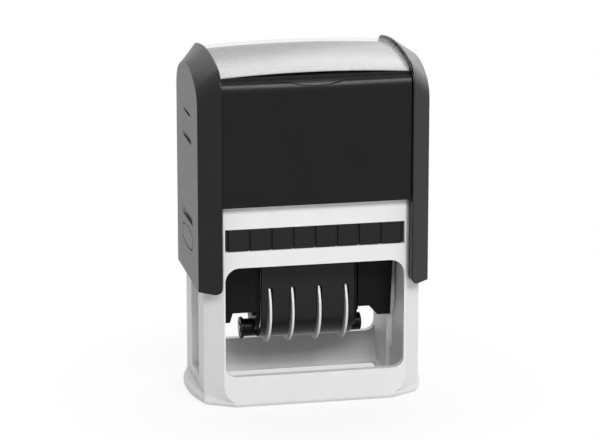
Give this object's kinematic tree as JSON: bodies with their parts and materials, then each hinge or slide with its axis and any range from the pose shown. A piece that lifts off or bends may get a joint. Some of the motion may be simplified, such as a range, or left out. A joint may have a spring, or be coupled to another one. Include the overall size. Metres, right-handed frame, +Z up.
{
  "type": "date stamp",
  "caption": "Free-standing self-inking date stamp: a sprung black cap slides down a pale base and turns over a die carriage with thumb wheels that set the date.",
  "frame": {"origin": "on the table under the middle of the foot", "axes": "+X to the right along the width, -Y to the front, +Z up"},
  "size_m": [0.0796, 0.0536, 0.1171],
  "materials": {
    "pale_plastic": "fine satin moulding",
    "black_plastic": "fine satin moulding",
    "smooth_black": "smooth",
    "grey_plastic": "satin",
    "clear_plastic": "clear and polished",
    "silver_card": "silver grey card",
    "steel": "bright",
    "off_white": "satin",
    "band_rubber": "matt",
    "die_rubber": "matt",
    "felt": "soaked felt"
  },
  "bodies": {
    "base": {"base_frame": "pale_plastic", "return_spring": "steel"},
    "cap": {"cap_shell": "black_plastic", "front_panel": "smooth_black", "rear_panel": "smooth_black", "index_card": "silver_card"},
    "window": {"index_window": "clear_plastic"},
    "left_lock": {"lock_button_left": "grey_plastic"},
    "right_lock": {"lock_button_right": "grey_plastic"},
    "cartridge": {"cartridge_tray": "black_plastic", "ink_pad": "felt"},
    "carriage": {"carriage_frame": "black_plastic", "pivot_pin_left": "steel", "pivot_pin_right": "steel", "die_plate": "black_plastic", "text_rubber": "die_rubber", "dater_cover": "black_plastic", "dater_side_left": "black_plastic", "dater_side_right": "black_plastic", "tail_pins": "steel", "wheel_axle": "steel", "axle_clips": "steel", "axle_spacers": "off_white", "band_anvil": "black_plastic", "day_tens_band": "band_rubber", "day_units_band": "band_rubber", "month_band": "band_rubber", "year_band": "band_rubber"},
    "day_tens": {"day_tens_wheel": "off_white"},
    "day_units": {"day_units_wheel": "off_white"},
    "month": {"month_wheel": "off_white"},
    "year": {"year_wheel": "off_white"}
  },
  "joints": [
    {"name": "cap_press", "type": "slide", "parent": "base", "child": "cap", "axis": [0, 0, -1], "range_m": [0, 0.03], "stiffness_N_per_m": 350, "springref_m": -0.012, "deforming": ["return_spring"]},
    {"name": "carriage_flip", "type": "hinge", "parent": "cap", "child": "carriage", "pos_m": [0, 0, 0.043], "axis": [1, 0, 0], "range_deg": [0, 180]},
    {"name": "left_lock_press", "type": "slide", "parent": "cap", "child": "left_lock", "axis": [1, 0, 0], "range_m": [0, 0.001], "stiffness_N_per_m": 600, "springref_m": -0.0005},
    {"name": "right_lock_press", "type": "slide", "parent": "cap", "child": "right_lock", "axis": [-1, 0, 0], "range_m": [0, 0.001], "stiffness_N_per_m": 600, "springref_m": -0.0005},
    {"name": "window_lift", "type": "slide", "parent": "cap", "child": "window", "axis": [0, 0, 1], "range_m": [0, 0.015]},
    {"name": "cartridge_slide", "type": "slide", "parent": "base", "child": "cartridge", "axis": [0, 1, 0], "range_m": [-0.046, 0]},
    {"name": "day_tens_turn", "type": "hinge", "parent": "carriage", "child": "day_tens", "pos_m": [-0.0129, 0, 0.029], "axis": [1, 0, 0], "continuous": true},
    {"name": "day_units_turn", "type": "hinge", "parent": "carriage", "child": "day_units", "pos_m": [-0.0053, 0, 0.029], "axis": [1, 0, 0], "continuous": true},
    {"name": "month_turn", "type": "hinge", "parent": "carriage", "child": "month", "pos_m": [0.0038, 0, 0.029], "axis": [1, 0, 0], "continuous": true},
    {"name": "year_turn", "type": "hinge", "parent": "carriage", "child": "year", "pos_m": [0.0129, 0, 0.029], "axis": [1, 0, 0], "continuous": true}
  ],
  "couplings": [
    {"joint": "carriage_flip", "follows": "cap_press", "rad_per_m": 104.72}
  ]
}
